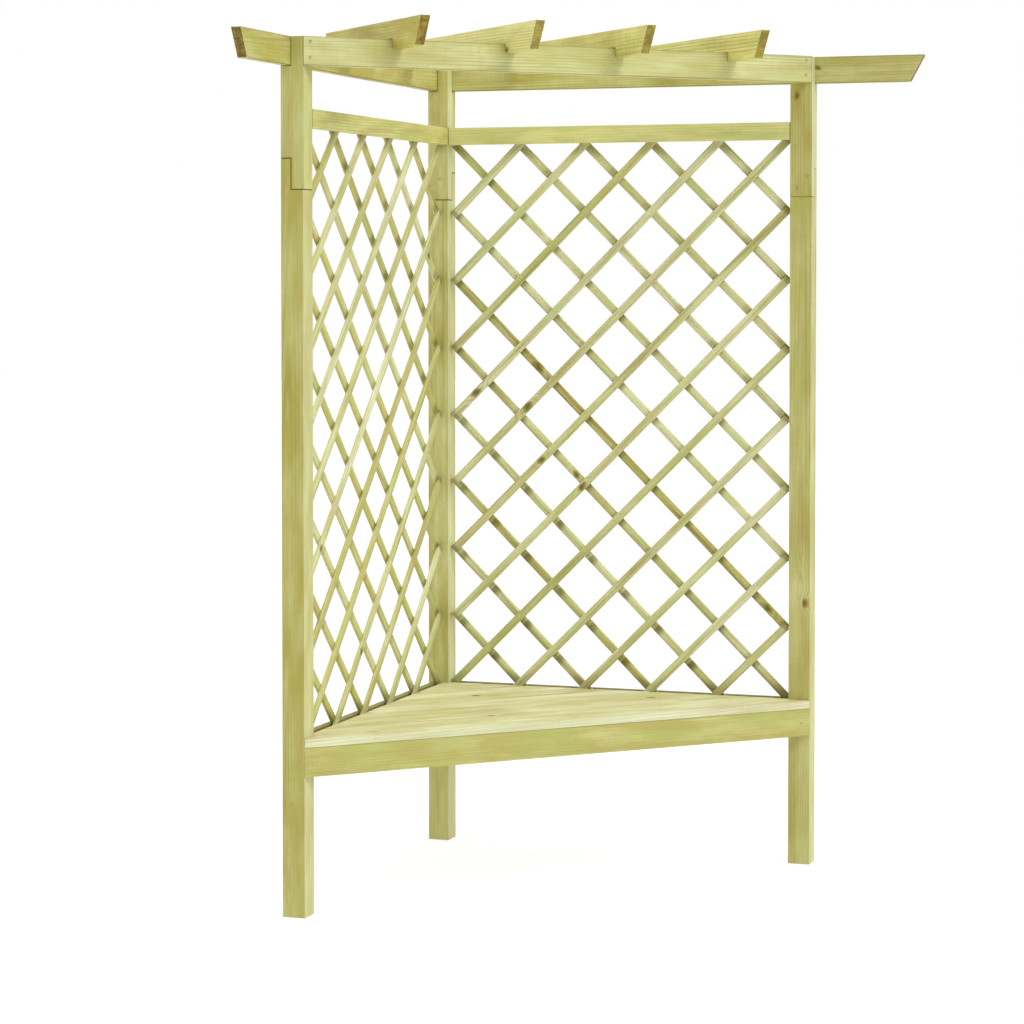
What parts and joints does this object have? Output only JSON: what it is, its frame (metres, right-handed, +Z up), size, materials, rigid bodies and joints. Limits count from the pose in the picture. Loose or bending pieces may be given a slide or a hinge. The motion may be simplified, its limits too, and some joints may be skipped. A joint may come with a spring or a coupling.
{
  "type": "corner arbour seat",
  "caption": "Open corner arbour seat of sawn softwood: square posts, boarded triangular seat, lattice sides and a flat roof of rafters over beams.",
  "frame": {"origin": "on the ground under the middle of the whole plan, from beam tip to rafter tail", "axes": "+Z up; +X from the corner post towards the right post, as seen from the seat's front; +Y from the front post towards the corner post; the seat faces halfway between +X and -Y"},
  "size_m": [1.3, 1.3, 1.97],
  "materials": {
    "post_wood": "sawn and planed softwood, green-yellow pressure treatment, knots",
    "beam_wood": "planed softwood, green-yellow pressure treatment",
    "rafter_wood": "planed softwood, browner end grain",
    "rail_wood": "planed softwood, green-yellow pressure treatment",
    "lath_wood": "sawn thin laths, stapled where they cross",
    "board_wood": "planed pale boards",
    "screw_steel": "passivated countersunk wood screws"
  },
  "bodies": {
    "root": {"post_front_lower": "post_wood", "post_front_upper": "post_wood", "post_corner_lower": "post_wood", "post_corner_upper": "post_wood", "post_right_lower": "post_wood", "post_right_upper": "post_wood", "beam_left": "beam_wood", "beam_back": "beam_wood", "beam_front": "beam_wood", "rafter_1": "rafter_wood", "rafter_2": "rafter_wood", "rafter_3": "rafter_wood", "rafter_4": "rafter_wood", "top_rail_left": "rail_wood", "top_rail_back": "rail_wood", "foot_rail_left": "rail_wood", "foot_rail_back": "rail_wood", "seat_rail_front": "rail_wood", "seat_rail_left": "rail_wood", "seat_rail_back": "rail_wood", "seat_rail_middle": "rail_wood", "lattice_left": "lath_wood", "lattice_back": "lath_wood", "seat_board_1": "board_wood", "seat_board_2": "board_wood", "seat_board_3": "board_wood", "seat_board_4": "board_wood", "seat_board_5": "board_wood", "seat_board_6": "board_wood", "seat_board_7": "board_wood", "seat_board_8": "board_wood", "lap_screw_front_1": "screw_steel", "lap_screw_front_2": "screw_steel", "lap_screw_corner_1": "screw_steel", "lap_screw_corner_2": "screw_steel", "lap_screw_right_1": "screw_steel", "lap_screw_right_2": "screw_steel", "beam_front_screw_front_1": "screw_steel", "beam_front_screw_front_2": "screw_steel", "beam_front_screw_right_1": "screw_steel", "beam_front_screw_right_2": "screw_steel", "seat_rail_screw_front": "screw_steel", "seat_rail_screw_right": "screw_steel", "beam_screw_front": "screw_steel", "beam_screw_corner_left": "screw_steel", "beam_screw_corner_back": "screw_steel", "beam_screw_right": "screw_steel", "rafter_screw_1_front": "screw_steel", "rafter_screw_1_rear": "screw_steel", "rafter_screw_2_front": "screw_steel", "rafter_screw_2_rear": "screw_steel", "rafter_screw_3_front": "screw_steel", "rafter_screw_3_rear": "screw_steel", "rafter_screw_4_front": "screw_steel", "rafter_screw_4_rear": "screw_steel"}
  },
  "joints": []
}
